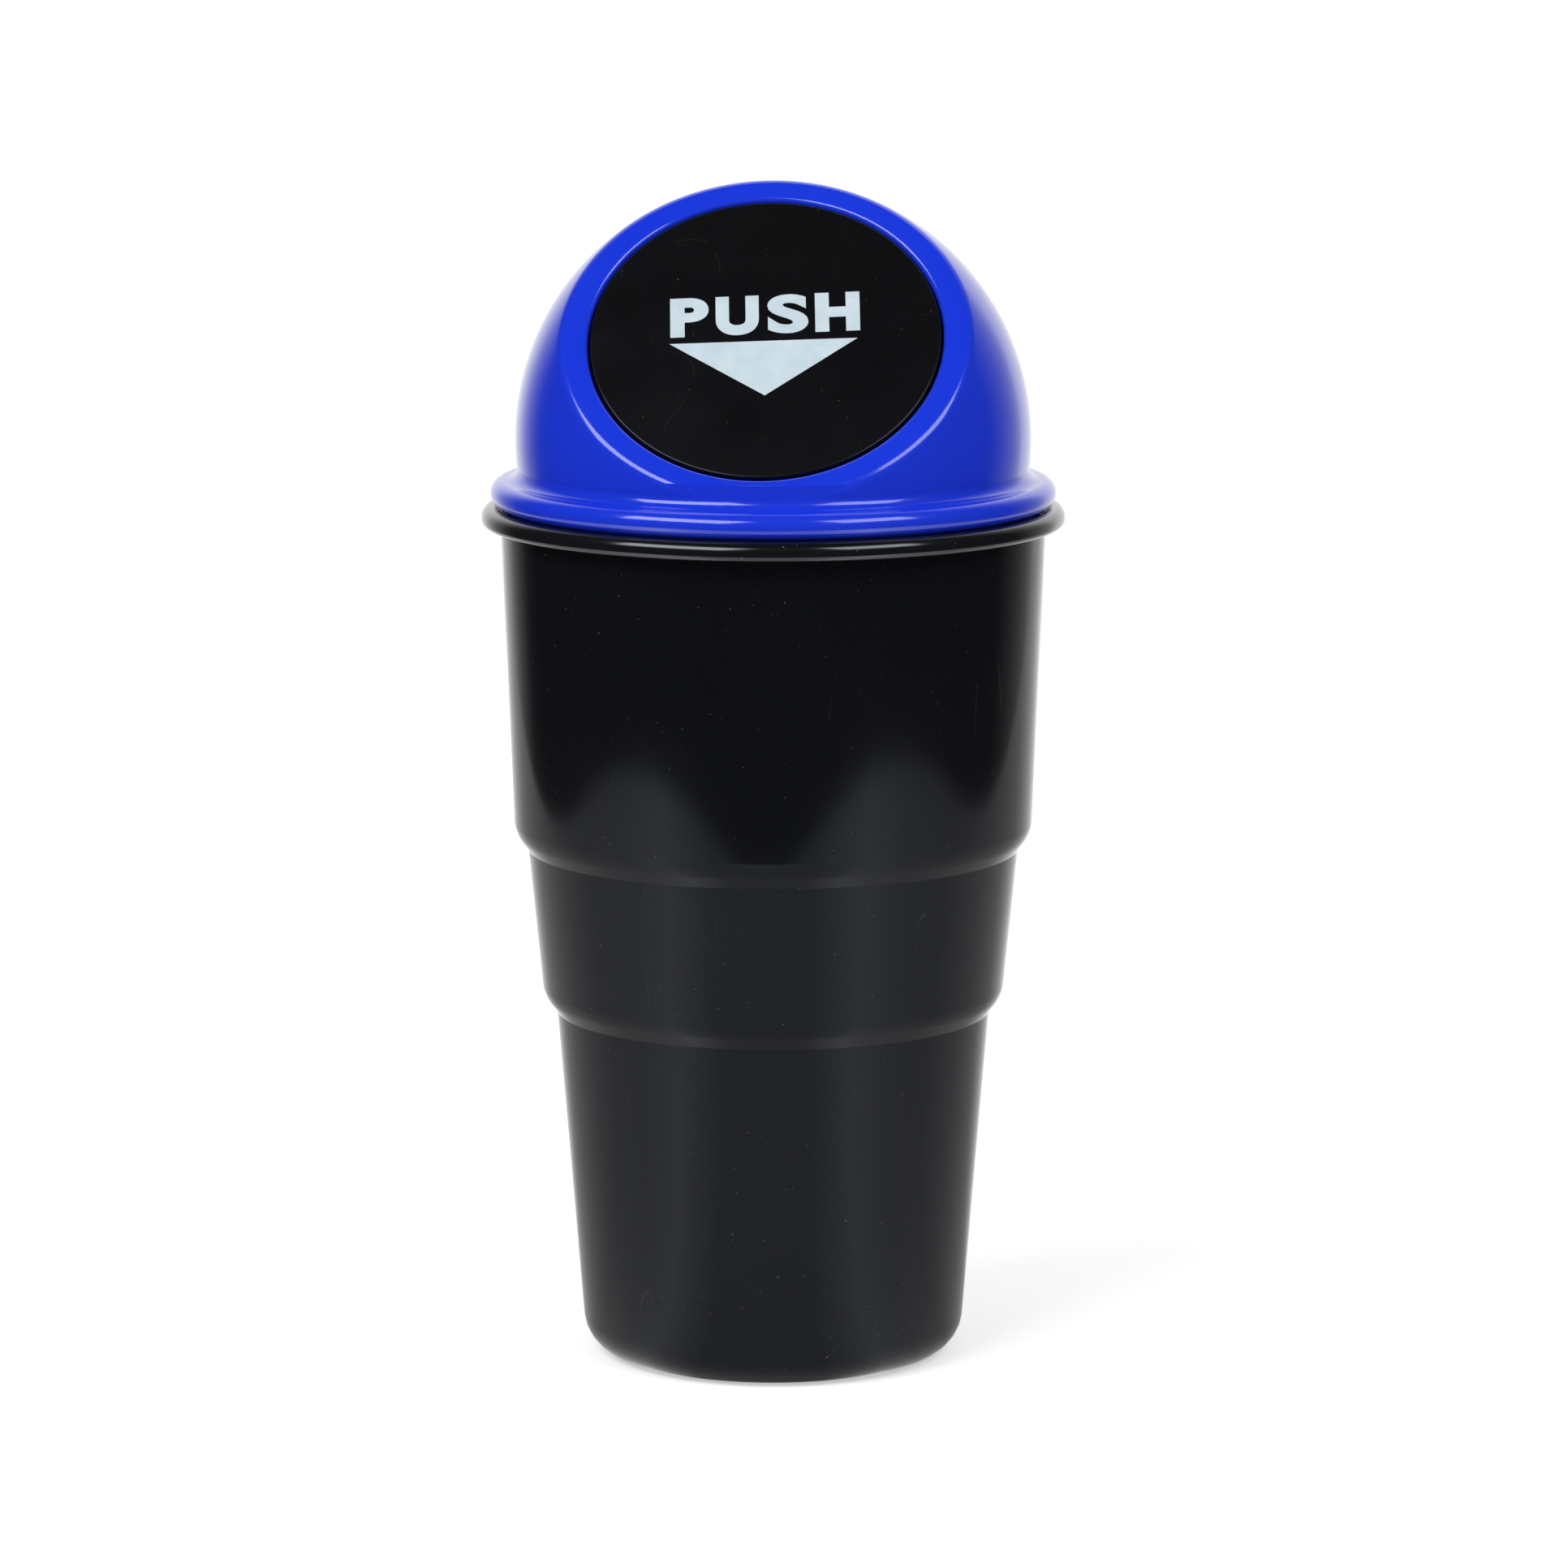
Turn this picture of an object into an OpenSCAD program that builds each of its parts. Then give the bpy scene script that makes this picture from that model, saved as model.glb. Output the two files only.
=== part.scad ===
// Car trash bin: a stepped cup that drops into a cup holder, closed by a lift-off dome
// lid whose round flap swings in when it is pushed and is shut again by a spring.
// Millimetres, +Z up, front towards -Y, origin in the middle of the underside.

/* [Cup] */
// Height from the underside to the top of the rim bead
cup_h = 140.7; // [132:0.1:160]
// How far the rim bead stands out past the upper tier
rim_out = 3.1; // [2.6:0.1:3.8]
// Depth of the rim bead below its widest line
rim_under = 1.2; // [0.9:0.1:2]
// Radius of the rim bead's lower edge
rim_low_round = 0.9; // [0.3:0.1:0.9]
// Width of the seat for the lid, between the wall and the rim bead
seat_w = 0.8; // [0.6:0.1:1.1]
// Wall of the cup
cup_wall = 1.5; // [1.2:0.1:2.2]
// Diameter at the foot, before its corner is rounded
foot_d = 61.6; // [56:0.2:66]
// Diameter at the top of the lower tier
lower_top_d = 71.2; // [68:0.2:73]
// Diameter at the bottom of the middle tier
middle_low_d = 75.6; // [74:0.2:77]
// Diameter at the top of the middle tier
middle_top_d = 80.4; // [78:0.2:82]
// Diameter at the bottom of the upper tier
upper_low_d = 84.8; // [83:0.2:86]
// Diameter of the upper tier where it runs into the rim
upper_top_d = 88.8; // [87.6:0.2:90]
// Height at which the lower tier ends
lower_step_z = 57.2; // [40:0.1:62]
// Height at which the middle tier ends
middle_step_z = 84.2; // [74:0.1:96]
// Height of each shoulder between two tiers
step_h = 2.9; // [2.6:0.1:7]
// Outside radius of the foot's corner
foot_round = 6.25; // [3:0.25:7]
// Radius of the inward corner under each shoulder
waist_round = 0.5; // [0.3:0.1:2]
// Radius of the outward corner over each shoulder
shoulder_round = 5; // [2:0.25:6]
// Thickness of the floor
floor_t = 1.6; // [1.2:0.1:3]
// How far the middle of the underside is lifted off the table
base_lift = 1; // [0.5:0.1:2]
// Width of the flat ring that the cup stands on
foot_ring_w = 2.8; // [1.5:0.1:6]

/* [Lid] */
// How far the dome's side stays inside the flange
dome_inset = 4.1; // [3.6:0.1:6]
// Height of the dome's centre over the lid's seat
dome_rise = 12.6; // [9:0.2:16]
// Wall of the lid
lid_wall = 1.6; // [1.2:0.1:2.2]
// How far the flange stays inside the rim bead
flange_setback = 1.5; // [0.8:0.1:1.8]
// Thickness of the flange's round edge
flange_t = 4.4; // [3.6:0.1:4.8]
// Gap between the rim bead and the flange's round edge
rim_gap = 0.2; // [0.1:0.05:0.6]
// Radius of the corner between the dome and the flange
neck_round = 2; // [0.8:0.1:2.1]
// Depth of the skirt that plugs into the cup
skirt_h = 8; // [5:0.5:12]
// Rounding of the skirt's lower edges
skirt_round = 0.5; // [0.3:0.1:0.6]
// Gap between the skirt and the cup's wall, and between the lid's seat and the rim bead
skirt_gap = 0.3; // [0.2:0.05:0.5]

/* [Mouth] */
// Angle at which the mouth leans back
mouth_tilt = 45; // [40:1:50]
// How deep the dome is cut off for the flat ring
face_cut = 15.8; // [14.6:0.1:16.6]
// Width of the flat ring round the mouth, with its rounded edge
ring_w = 4.3; // [3.8:0.1:5.6]
// Radius of the ring's outer edge
face_round = 2.2; // [0.8:0.1:2.4]
// Radius of the ring's inner edge
lip_round = 0.6; // [0.2:0.1:0.8]
// Depth of the collar inside the mouth
collar_h = 8; // [7.6:0.2:10]
// Wall of the collar
collar_t = 1.5; // [1.2:0.1:2]
// Reach of the stop ledge into the mouth
ledge_w = 2.1; // [1.4:0.1:2.4]
// Thickness of the stop ledge
ledge_t = 1.6; // [1.2:0.1:1.8]
// Distance from the pin up to the ends of the ledge
ledge_above_pin = 5; // [4:0.2:7]
// Gap between the shut flap and the ledge
stop_gap = 0.2; // [0.1:0.05:0.3]

/* [Flap] */
// Gap round the flap
flap_gap = 0.35; // [0.3:0.05:0.8]
// How far the flap lies below the ring
flap_recess = 0.1; // [0:0.1:1.2]
// Thickness of the flap
flap_t = 1.8; // [1.4:0.1:2.2]
// Radius of the flap's front edge
flap_round = 0.3; // [0.2:0.1:0.8]
// Height of the ribs on the back
rib_h = 1.5; // [1:0.1:1.8]
// Thickness of the ribs
rib_t = 1.2; // [0.8:0.1:1.6]
// Distance from the flap's edge to the outside of its ring rib
rib_inset = 3.4; // [2.8:0.1:5]
// Length of the two straight ribs
rib_run = 44; // [34:1:46]

/* [Hinge] */
// Distance from the mouth's centre up to the pin
pin_up = 12; // [9:0.5:13]
// Diameter of the pin
pin_d = 2; // [1.6:0.1:2.2]
// Distance from the flap's back to the middle of the pin
pin_behind = 2.4; // [2.3:0.1:2.8]
// Gap all round the pin in the flap's knuckles
pin_play = 0.1; // [0.05:0.01:0.1]
// Gap all round the pin in the lid's ears
ear_play = 0.05; // [0.03:0.01:0.1]
// Gap at each end of the pin
pin_end_gap = 0.2; // [0.1:0.05:0.5]
// How much narrower than the pin the ears' slots are
snap_in = 0.3; // [0.2:0.05:0.5]
// Outside radius of the ears
ear_r = 2.6; // [2.2:0.1:2.6]
// How far the ears reach out past the mouth
ear_out = 3; // [2.6:0.1:3.2]
// Wall that closes each ear at its end
ear_end_t = 0.8; // [0.6:0.1:1]
// Outside radius of the knuckles
knuckle_r = 2.3; // [2:0.1:2.4]
// Width of the two inner knuckles
inner_knuckle_w = 2; // [1.4:0.1:3]
// Width of the two outer knuckles
outer_knuckle_w = 3; // [2:0.1:4]
// Distance from the mouth's middle to the far side of the outer knuckles
outer_knuckle_x = 22.4; // [20:0.1:23]

/* [Spring] */
// Thickness of the spring's wire
wire_d = 0.7; // [0.5:0.05:0.8]
// Number of turns
turns = 7; // [4:1:9]
// Space between two turns
turn_gap = 0.1; // [0.05:0.05:0.2]
// Gap between the coil and the pin
coil_gap = 0.45; // [0.3:0.05:0.6]
// Gap between the coil and the knuckles beside it
coil_end_gap = 0.3; // [0.2:0.05:0.6]
// Length of the leg that lies on the flap
flap_leg = 14; // [8:0.5:20]
// Distance that the other leg's end stays from the collar
leg_end_gap = 0.6; // [0.4:0.1:1.2]
// Gap between the other leg and the ledge that it presses on
leg_gap = 0.2; // [0.1:0.05:0.3]

/* [Hidden] */

$fn = 64;
arc_steps = 5;
over = 1;
far = 200;
// How far the ring's outer edge stays inside the dome, so that the cut is clean
round_sink = 0.01;
// How far the rounding at the neck starts inside the dome, for the same reason
neck_sink = 0.03;
// How far the flange's root and the ring's end lap over the dome's wall
root_lap = 0.3;
// How far the dome's wall reaches down past that lap
shell_lap = 0.1;
// Half of the flat that stays between the two roundings of the flange's edge, and how far
// the rim bead's rounding starts over the seat
edge_flat = 0.05;

cup_black = "#1b1c1e";
lid_blue = "#1a34d6";
flap_black = "#141416";
steel = "#b9bcc0";

// Cup
rim_r = upper_top_d / 2 + rim_out;
rim_in_r = upper_top_d / 2 - cup_wall + seat_w;
rim_bead_r = (rim_r - rim_in_r) / 2;
rim_mid_r = rim_r - rim_bead_r;
seat_z = cup_h - rim_bead_r;
rim_low_z = seat_z - rim_under;
upper_low_z = middle_step_z + step_h;
middle_low_z = lower_step_z + step_h;
upper_draft = (upper_top_d - upper_low_d) / 2 / (seat_z - upper_low_z);
lower_draft = (lower_top_d - foot_d) / 2 / lower_step_z;
foot_run = foot_round * tan((90 + atan(lower_draft)) / 2);
ring_in_r = foot_d / 2 - foot_run - foot_ring_w;

// Lid
flange_round = flange_t / 2 - edge_flat;
flange_r = rim_r - flange_setback;
// Height between the middles of the rim bead's rounding and of the flange's lower rounding
rim_lift = round_at(rim_bead_r + rim_gap + flange_round, rim_mid_r - flange_r + flange_round);
flange_low_z = seat_z + rim_lift - flange_round;
flange_top_z = flange_low_z + flange_t;
dome_r = flange_r - dome_inset;
dome_in_r = dome_r - lid_wall;
dome_z = seat_z + dome_rise;
neck_z = flange_top_z + neck_round * 2;
mid_wall_r = dome_r - lid_wall / 2;
// Radius at which the rounding at the neck meets the dome
neck_r = sqrt(pow(dome_r + neck_round, 2) - pow(dome_z - flange_top_z - neck_round, 2))
    - neck_round - neck_sink;
shell_low_z = flange_top_z - root_lap - shell_lap;
skirt_low_z = seat_z - skirt_h;

// Mouth, measured along its own axis from the dome's centre
face_out = dome_r - face_cut;
mouth_r = sqrt(pow(dome_r, 2) - pow(face_out, 2)) - ring_w;
face_mid_out = face_out - face_round;
face_mid_r = sqrt(pow(dome_r - face_round - round_sink, 2) - pow(face_mid_out, 2));
collar_out = face_out - collar_h;
flap_r = mouth_r - flap_gap;
flap_front = face_out - flap_recess;
flap_back = flap_front - flap_t;
ledge_front = flap_back - stop_gap;
ledge_back = ledge_front - ledge_t;

// Hinge
pin_out = flap_back - pin_behind;
pin_r = pin_d / 2;
ear_x = sqrt(pow(mouth_r, 2) - pow(pin_up, 2)) + ear_out;
ear_root_x = ear_x - ear_out - collar_t;
pin_half = ear_x - ear_end_t - pin_end_gap;
wire_r = wire_d / 2;
coil_r = pin_r + coil_gap + wire_r;
turn_pitch = wire_d + turn_gap;
coil_half = turns * turn_pitch / 2;
inner_knuckle_x = coil_half + wire_r + coil_end_gap;

// Outside radius of the cup's upper tier at a height
function upper_r(z) = upper_low_d / 2 + (z - upper_low_z) * upper_draft;
// Inside radius of the cup's upper tier at a height
function mouth_wall_r(z) = upper_r(z) - cup_wall;
// Radius of a round of radius r at a distance from its centre
function round_at(r, along) = sqrt(pow(r, 2) - pow(along, 2));

function unit(v) = v / norm(v);
function left_of(a, b) = unit([a[1] - b[1], b[0] - a[0]]);
// Corner b of the path a, b, c, moved to the left by t
function inset_corner(a, b, c, t) =
    let (n1 = left_of(a, b), n2 = left_of(b, c))
    b + t * (n1 + n2) / (1 + n1 * n2);

// Arc of radius rad that rounds the corner b between a and c
function rounded_corner(a, b, c, rad) =
    let (
        to_a = unit(a - b),
        to_c = unit(c - b),
        half = acos(to_a * to_c) / 2,
        middle = b + unit(to_a + to_c) * rad / sin(half),
        first = b + to_a * rad / tan(half) - middle,
        last = b + to_c * rad / tan(half) - middle,
        start = atan2(first[1], first[0]),
        turn = atan2(first[0] * last[1] - first[1] * last[0], first * last)
    )
    [for (i = [0:arc_steps])
        let (angle = start + turn * i / arc_steps)
        middle + rad * [cos(angle), sin(angle)]];

// Outline through corners given as [radius, height, rounding]
function rounded_path(corners) =
    let (count = len(corners))
    [for (i = [0:count - 1])
        let (
            before = corners[(i + count - 1) % count],
            here = corners[i],
            after = corners[(i + 1) % count],
            a = [before[0], before[1]],
            b = [here[0], here[1]],
            c = [after[0], after[1]]
        )
        each here[2] == 0 ? [b] : rounded_corner(a, b, c, here[2])];

// Stands what follows on the dome's centre, with Y up the mouth's slope and Z out of it
module on_mouth() {
    translate([0, 0, dome_z])
        rotate([mouth_tilt, 0, 0])
            children();
}

// A rod along the pin, from one x to another
module along_pin(r, from_x, to_x) {
    translate([from_x, pin_up, pin_out])
        rotate([0, 90, 0])
            cylinder(r = r, h = to_x - from_x);
}

// The cup's outer wall from the foot up, as [radius, height] corners
cup_wall_line = [
    [foot_d / 2, 0],
    [lower_top_d / 2, lower_step_z],
    [middle_low_d / 2, middle_low_z],
    [middle_top_d / 2, middle_step_z],
    [upper_low_d / 2, upper_low_z],
    [upper_r(seat_z), seat_z]
];
cup_rounds = [foot_round, waist_round, shoulder_round, waist_round, shoulder_round];
// Which way each of those corners turns: 1 bulges out, -1 is a waist
cup_turns = [1, -1, 1, -1, 1];
floor_z = base_lift + floor_t;
floor_r = foot_d / 2 + floor_z * lower_draft - cup_wall;

module cup_section() {
    outer = [for (i = [0:4]) [cup_wall_line[i][0], cup_wall_line[i][1], cup_rounds[i]]];
    inner = [for (i = [4:-1:1])
        let (
            corner = inset_corner(cup_wall_line[i - 1], cup_wall_line[i], cup_wall_line[i + 1],
                                  cup_wall)
        )
        [corner[0], corner[1], cup_rounds[i] - cup_turns[i] * cup_wall]];
    corners = concat(
        [[0, base_lift, 0], [ring_in_r - base_lift, base_lift, 0], [ring_in_r, 0, 0]],
        outer,
        [
            [upper_r(rim_low_z), rim_low_z, 0],
            [rim_r, rim_low_z, rim_low_round],
            [rim_r, cup_h, rim_bead_r - edge_flat],
            [rim_in_r, cup_h, rim_bead_r - edge_flat],
            [rim_in_r, seat_z, 0],
            [mouth_wall_r(seat_z), seat_z, 0]
        ],
        inner,
        [[floor_r, floor_z, foot_round - cup_wall], [0, floor_z, 0]]
    );
    polygon(rounded_path(corners));
}

module bin_cup() {
    color(cup_black)
        rotate_extrude()
            cup_section();
}

// Section of the flange, the seat and the skirt, rooted in the dome's wall
module flange_section() {
    skirt_top_r = mouth_wall_r(seat_z) - skirt_gap;
    skirt_low_r = mouth_wall_r(skirt_low_z) - skirt_gap;
    seat_out_r = rim_in_r - skirt_gap;
    polygon(rounded_path([
        [neck_r, neck_z, 0],
        [round_at(mid_wall_r, dome_z - neck_z), neck_z, 0],
        [round_at(dome_in_r, dome_z - flange_top_z) - root_lap, flange_top_z, 0],
        [skirt_top_r - lid_wall, seat_z, 0],
        [skirt_low_r - lid_wall, skirt_low_z, skirt_round],
        [skirt_low_r, skirt_low_z, skirt_round],
        [skirt_top_r, seat_z, 0],
        [seat_out_r, seat_z, 0],
        [seat_out_r, flange_low_z, 0],
        [flange_r, flange_low_z, flange_round],
        [flange_r, flange_top_z, flange_round],
        [neck_r, flange_top_z, neck_round]
    ]));
}

// Half section of the dome's shell, turned about the mouth's axis
module shell_section() {
    last_angle = atan2(face_mid_out, face_mid_r);
    beyond = (dome_r + 2 * face_round) * [cos(last_angle), sin(last_angle)];
    difference() {
        circle(r = dome_r);
        circle(r = dome_in_r);
        translate([-2 * dome_r, -2 * dome_r])
            square([2 * dome_r, 4 * dome_r]);
        // Everything outside the flat ring and its rounded outer edge
        polygon(concat(
            [[-over, dome_r + over], [-over, face_out]],
            [for (i = [0:arc_steps])
                let (angle = 90 + (last_angle - 90) * i / arc_steps)
                [face_mid_r, face_mid_out] + face_round * [cos(angle), sin(angle)]],
            [beyond, [beyond[0], dome_r + over]]
        ));
    }
}

// Half section of the flat ring round the mouth and the collar behind it
module ring_section() {
    ring_back = face_out - lid_wall;
    polygon(rounded_path([
        [mouth_r, face_out, lip_round],
        [mouth_r, collar_out, 0],
        [mouth_r + collar_t, collar_out, 0],
        [mouth_r + collar_t, ring_back, 0],
        [round_at(mid_wall_r, ring_back), ring_back, 0],
        [face_mid_r - root_lap, face_out, 0]
    ]));
}

// Ledge behind the upper part of the flap, which stops it when it is shut
module stop_ledge() {
    intersection() {
        translate([0, 0, ledge_back])
            difference() {
                cylinder(r = mouth_r + collar_t / 2, h = ledge_t);
                translate([0, 0, -over])
                    cylinder(r = mouth_r - ledge_w, h = ledge_t + 2 * over);
            }
        translate([-far / 2, pin_up + ledge_above_pin, 0])
            cube([far, far, far]);
    }
}

// One ear on the collar, before it is hollowed for the pin
module ear() {
    difference() {
        union() {
            along_pin(ear_r, ear_root_x, ear_x);
            translate([ear_root_x, pin_up - ear_r, collar_out])
                cube([ear_x - ear_root_x, 2 * ear_r, pin_out - collar_out]);
        }
        translate([0, 0, collar_out - over])
            cylinder(r = mouth_r, h = collar_h + 2 * over);
    }
}

// Room for one end of the pin, with the slot through which it snaps in from behind
module pin_seat() {
    slot_w = pin_d - snap_in;
    seat_x = ear_x - ear_end_t;
    along_pin(pin_r + ear_play, ear_root_x, seat_x);
    translate([ear_root_x, pin_up - slot_w / 2, collar_out - over])
        cube([seat_x - ear_root_x, slot_w, pin_out - collar_out + over]);
}

// The dome above its flange, with the ring and the collar
module dome() {
    intersection() {
        on_mouth()
            rotate_extrude()
                shell_section();
        translate([-far / 2, -far / 2, shell_low_z])
            cube(far);
    }
    on_mouth()
        rotate_extrude()
            ring_section();
}

module dome_lid() {
    color(lid_blue)
        difference() {
            union() {
                dome();
                rotate_extrude()
                    flange_section();
                on_mouth() {
                    stop_ledge();
                    for (side = [0, 1])
                        mirror([side, 0, 0])
                            ear();
                }
            }
            on_mouth()
                for (side = [0, 1])
                    mirror([side, 0, 0])
                        pin_seat();
        }
}

// A knuckle round the pin, standing on the flap's back
module knuckle(from_x, to_x) {
    along_pin(knuckle_r, from_x, to_x);
    translate([from_x, pin_up - knuckle_r, pin_out])
        cube([to_x - from_x, 2 * knuckle_r, flap_back + flap_t / 2 - pin_out]);
}

module flap_ribs() {
    root = flap_back + flap_t / 2;
    rib_out = flap_back - rib_h;
    rib_x = inner_knuckle_x + inner_knuckle_w / 2;
    difference() {
        translate([0, 0, rib_out])
            cylinder(r = flap_r - rib_inset, h = root - rib_out);
        translate([0, 0, rib_out - over])
            cylinder(r = flap_r - rib_inset - rib_t, h = root - rib_out + 2 * over);
    }
    for (side = [-1, 1])
        translate([side * rib_x - rib_t / 2, -rib_run / 2, rib_out])
            cube([rib_t, rib_run, root - rib_out]);
}

module push_flap() {
    color(flap_black)
        on_mouth()
            difference() {
                union() {
                    rotate_extrude()
                        polygon(rounded_path([
                            [0, flap_back, 0],
                            [flap_r, flap_back, 0],
                            [flap_r, flap_front, flap_round],
                            [0, flap_front, 0]
                        ]));
                    flap_ribs();
                    for (side = [0, 1])
                        mirror([side, 0, 0]) {
                            knuckle(inner_knuckle_x, inner_knuckle_x + inner_knuckle_w);
                            knuckle(outer_knuckle_x - outer_knuckle_w, outer_knuckle_x);
                        }
                }
                along_pin(pin_r + pin_play, -mouth_r, mouth_r);
            }
}

module hinge_pin() {
    color(steel)
        on_mouth()
            along_pin(pin_r, -pin_half, pin_half);
}

// The spring's wire: a leg up the flap's back, the coil, and a leg up behind the ledge
wire_sides = 6;
turn_steps = 16;
flap_leg_out = pin_out + coil_r;
// Where the other leg passes under the ledge's edge, seen from the pin
press_point = [mouth_r - ledge_w - pin_up, ledge_back - leg_gap - wire_r - pin_out];
// Angle at which that leg leaves the coil, so that it passes through that point
far_leg_angle = asin(coil_r / norm(press_point)) - atan2(press_point[1], press_point[0]);
far_leg_end = [mouth_r - leg_end_gap,
    pin_out + press_point[1] - (ledge_w - leg_end_gap) * tan(far_leg_angle)];

function coil_point(angle, x) = [x, pin_up + coil_r * sin(angle), pin_out + coil_r * cos(angle)];

coil_angle = 360 * turns + far_leg_angle;
coil_steps = ceil(coil_angle / 360 * turn_steps);
wire_line = concat(
    [[-coil_half, pin_up - flap_leg, flap_leg_out]],
    [for (i = [0:coil_steps])
        let (along = i / coil_steps)
        coil_point(coil_angle * along, -coil_half + 2 * coil_half * along)],
    [[coil_half, far_leg_end[0], far_leg_end[1]]]
);

// Direction of the wire at one of its points
function wire_way(i) =
    let (last = len(wire_line) - 1)
    unit(wire_line[min(i + 1, last)] - wire_line[max(i - 1, 0)]);

// Ring of points round the wire at one of its points
function wire_ring(i) =
    let (
        way = wire_way(i),
        side = unit(cross(way, cross([1, 0, 0], way))),
        up = cross(way, side)
    )
    [for (k = [0:wire_sides - 1])
        let (angle = 360 * k / wire_sides)
        wire_line[i] + wire_r * (cos(angle) * side + sin(angle) * up)];

module return_spring() {
    rings = len(wire_line);
    points = [for (i = [0:rings - 1]) each wire_ring(i)];
    sides = [for (i = [0:rings - 2], k = [0:wire_sides - 1])
        let (a = i * wire_sides + k, b = i * wire_sides + (k + 1) % wire_sides)
        [a, b, b + wire_sides, a + wire_sides]];
    first_end = [for (k = [wire_sides - 1:-1:0]) k];
    last_end = [for (k = [0:wire_sides - 1]) (rings - 1) * wire_sides + k];
    color(steel)
        on_mouth()
            polyhedron(points = points, faces = concat(sides, [first_end, last_end]));
}

bin_cup();
dome_lid();
push_flap();
hinge_pin();
return_spring();
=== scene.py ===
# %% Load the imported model
from math import atan2, cos, pi, radians, sin, sqrt, tan

import bmesh
import bpy
from bmesh.types import BMEdge, BMVert
from mathutils import Matrix, Vector


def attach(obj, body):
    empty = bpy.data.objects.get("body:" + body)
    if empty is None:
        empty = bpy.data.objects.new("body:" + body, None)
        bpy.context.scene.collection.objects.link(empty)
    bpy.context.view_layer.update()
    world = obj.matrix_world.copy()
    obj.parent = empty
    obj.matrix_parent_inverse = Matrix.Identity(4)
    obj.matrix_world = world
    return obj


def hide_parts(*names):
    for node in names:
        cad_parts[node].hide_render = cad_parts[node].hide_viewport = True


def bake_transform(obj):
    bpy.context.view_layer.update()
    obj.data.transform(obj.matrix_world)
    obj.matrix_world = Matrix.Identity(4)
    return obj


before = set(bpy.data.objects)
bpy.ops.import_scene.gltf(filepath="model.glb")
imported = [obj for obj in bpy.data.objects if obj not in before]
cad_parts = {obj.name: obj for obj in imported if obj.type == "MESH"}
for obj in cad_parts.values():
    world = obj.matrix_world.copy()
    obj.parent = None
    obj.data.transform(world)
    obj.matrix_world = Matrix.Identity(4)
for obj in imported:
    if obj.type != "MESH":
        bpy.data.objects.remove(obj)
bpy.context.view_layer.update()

# %% [markdown]
# # A car trash bin
#
# The bin is a stepped black cup that drops into a cup holder. A blue dome lid plugs
# into its rim. A round black flap in the lid's slanted face swings in when it is pushed.
#
# Nearly every part of it came out of a mould that is round, so nearly every piece here
# is a half section that is spun about an axis. There are two axes: the cup's own, which
# stands upright, and the mouth's, which leans forward by 45 degrees from the dome's centre.
#
# Sizes are written in millimetres, as on a drawing, and `MM` turns them to Blender's metres.

# %% Shared sizes
MM = 0.001
AROUND = 160                # faces round a full spin
ROUND_STEPS = 6             # segments of a rounded corner
FULL_TURN = 2 * pi
UPRIGHT = (0, 0, 1)
SMOOTH_ANGLE = radians(32)  # an edge that is sharper stays crisp
WELD = 0.002 * MM           # points that lie nearer become one

DOME_CENTRE = Vector((0, 0, 151.4)) * MM
MOUTH_TILT = radians(45)
TO_MOUTH = Matrix.Translation(DOME_CENTRE) @ Matrix.Rotation(MOUTH_TILT, 4, "X")
mouth_way = TO_MOUTH.to_3x3() @ Vector(UPRIGHT)
print("mouth's axis points to", tuple(round(v, 3) for v in mouth_way))

# %% [markdown]
# ## Sections and spins
#
# A section could be a curve with a Screw modifier. A bmesh is used here, because each
# corner can then get its own radius. The section starts as a ring of sharp corners in the
# plane of X and Z, and a vertex bevel rounds each corner that has a radius. The bevel wants
# the distance along the edges, and a corner that is open by the angle a needs
# radius / tan(a / 2).
#
# A full spin merges its last step with its first. Points on the axis would leave a pole of
# many loose points, so doubles are merged afterwards, and normals are recalculated last.

# %% Draw a section
def section_point(piece_mesh, across, up):
    """A point of a section, across from the axis and up along it, in millimetres."""
    return piece_mesh.verts.new((across * MM, 0, up * MM))


def round_corners(piece_mesh, points, reach, segments=ROUND_STEPS):
    """Rounds corners of an outline, each from reach metres before it to reach after."""
    bmesh.ops.bevel(piece_mesh, geom=points, offset=reach, offset_type="OFFSET",
                    affect="VERTICES", segments=segments, profile=0.5, material=-1,
                    clamp_overlap=False)


def draw_section(piece_mesh, corners):
    """Joins (radius, height, rounding) corners to a closed ring, in millimetres."""
    points = [section_point(piece_mesh, across, up) for across, up, _ in corners]
    for here, after in zip(points, points[1:] + points[:1]):
        piece_mesh.edges.new((here, after))
    for point, (_, _, rounding) in zip(points, corners):
        if rounding == 0:
            continue
        ways = [(edge.other_vert(point).co - point.co).normalized() for edge in point.link_edges]
        open_by = ways[0].angle(ways[1])
        round_corners(piece_mesh, [point], rounding * MM / tan(open_by / 2))


# %% Spin a section
def spin_section(piece_mesh, steps=AROUND, angle=FULL_TURN):
    """Turns everything drawn so far about the upright axis."""
    drawn = piece_mesh.verts[:] + piece_mesh.edges[:]
    bmesh.ops.spin(piece_mesh, geom=drawn, cent=(0, 0, 0), axis=UPRIGHT, angle=angle,
                   steps=steps, use_merge=angle == FULL_TURN, use_duplicate=False)


def spun_solid(corners, steps=AROUND):
    """A solid of revolution about the upright axis."""
    piece_mesh = bmesh.new()
    draw_section(piece_mesh, corners)
    spin_section(piece_mesh, steps)
    return piece_mesh


# %% [markdown]
# A piece is often several solids that were moulded as one. Each is drawn in a bmesh of its
# own, so that it can be turned to its own axis, and they are then gathered in one mesh. A
# boolean union would also take away what is hidden where they overlap, but it leaves slivers
# where round walls cross, and these show as dents in a glossy plastic.

# %% Gather bmeshes to a finished piece
def only(kind, items):
    """Picks the points, or the edges, out of what an operator gives back."""
    return [item for item in items if isinstance(item, kind)]


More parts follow.
